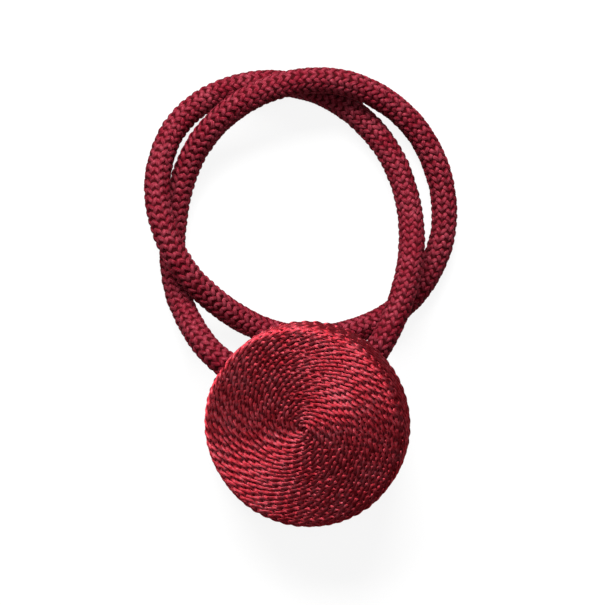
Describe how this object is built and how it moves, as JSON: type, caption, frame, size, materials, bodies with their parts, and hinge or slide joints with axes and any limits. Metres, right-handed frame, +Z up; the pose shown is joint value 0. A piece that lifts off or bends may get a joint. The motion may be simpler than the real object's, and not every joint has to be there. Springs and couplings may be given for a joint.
{
  "type": "magnetic curtain tieback",
  "caption": "Magnetic tieback for a curtain: a braided rope wound into a double loop between round cord-wound magnetic buttons that snap together back to back.",
  "frame": {"origin": "on the surface the tieback lies on, straight below the middle of the pair of buttons", "axes": "+Z up, +Y from the buttons toward the far end of the rope loop, +X to the right seen from above with the loop away from the viewer"},
  "size_m": [0.0703, 0.1021, 0.0264],
  "materials": {
    "braided_rope": "round braid of twisted crimson yarn, soft sheen",
    "front_winding": "spiral of thin twisted crimson cord, soft sheen",
    "rear_winding": "spiral of thin twisted crimson cord, soft sheen"
  },
  "bodies": {
    "root": {"rope": "braided_rope", "front_disc": "front_winding", "rear_disc": "rear_winding"}
  },
  "joints": []
}
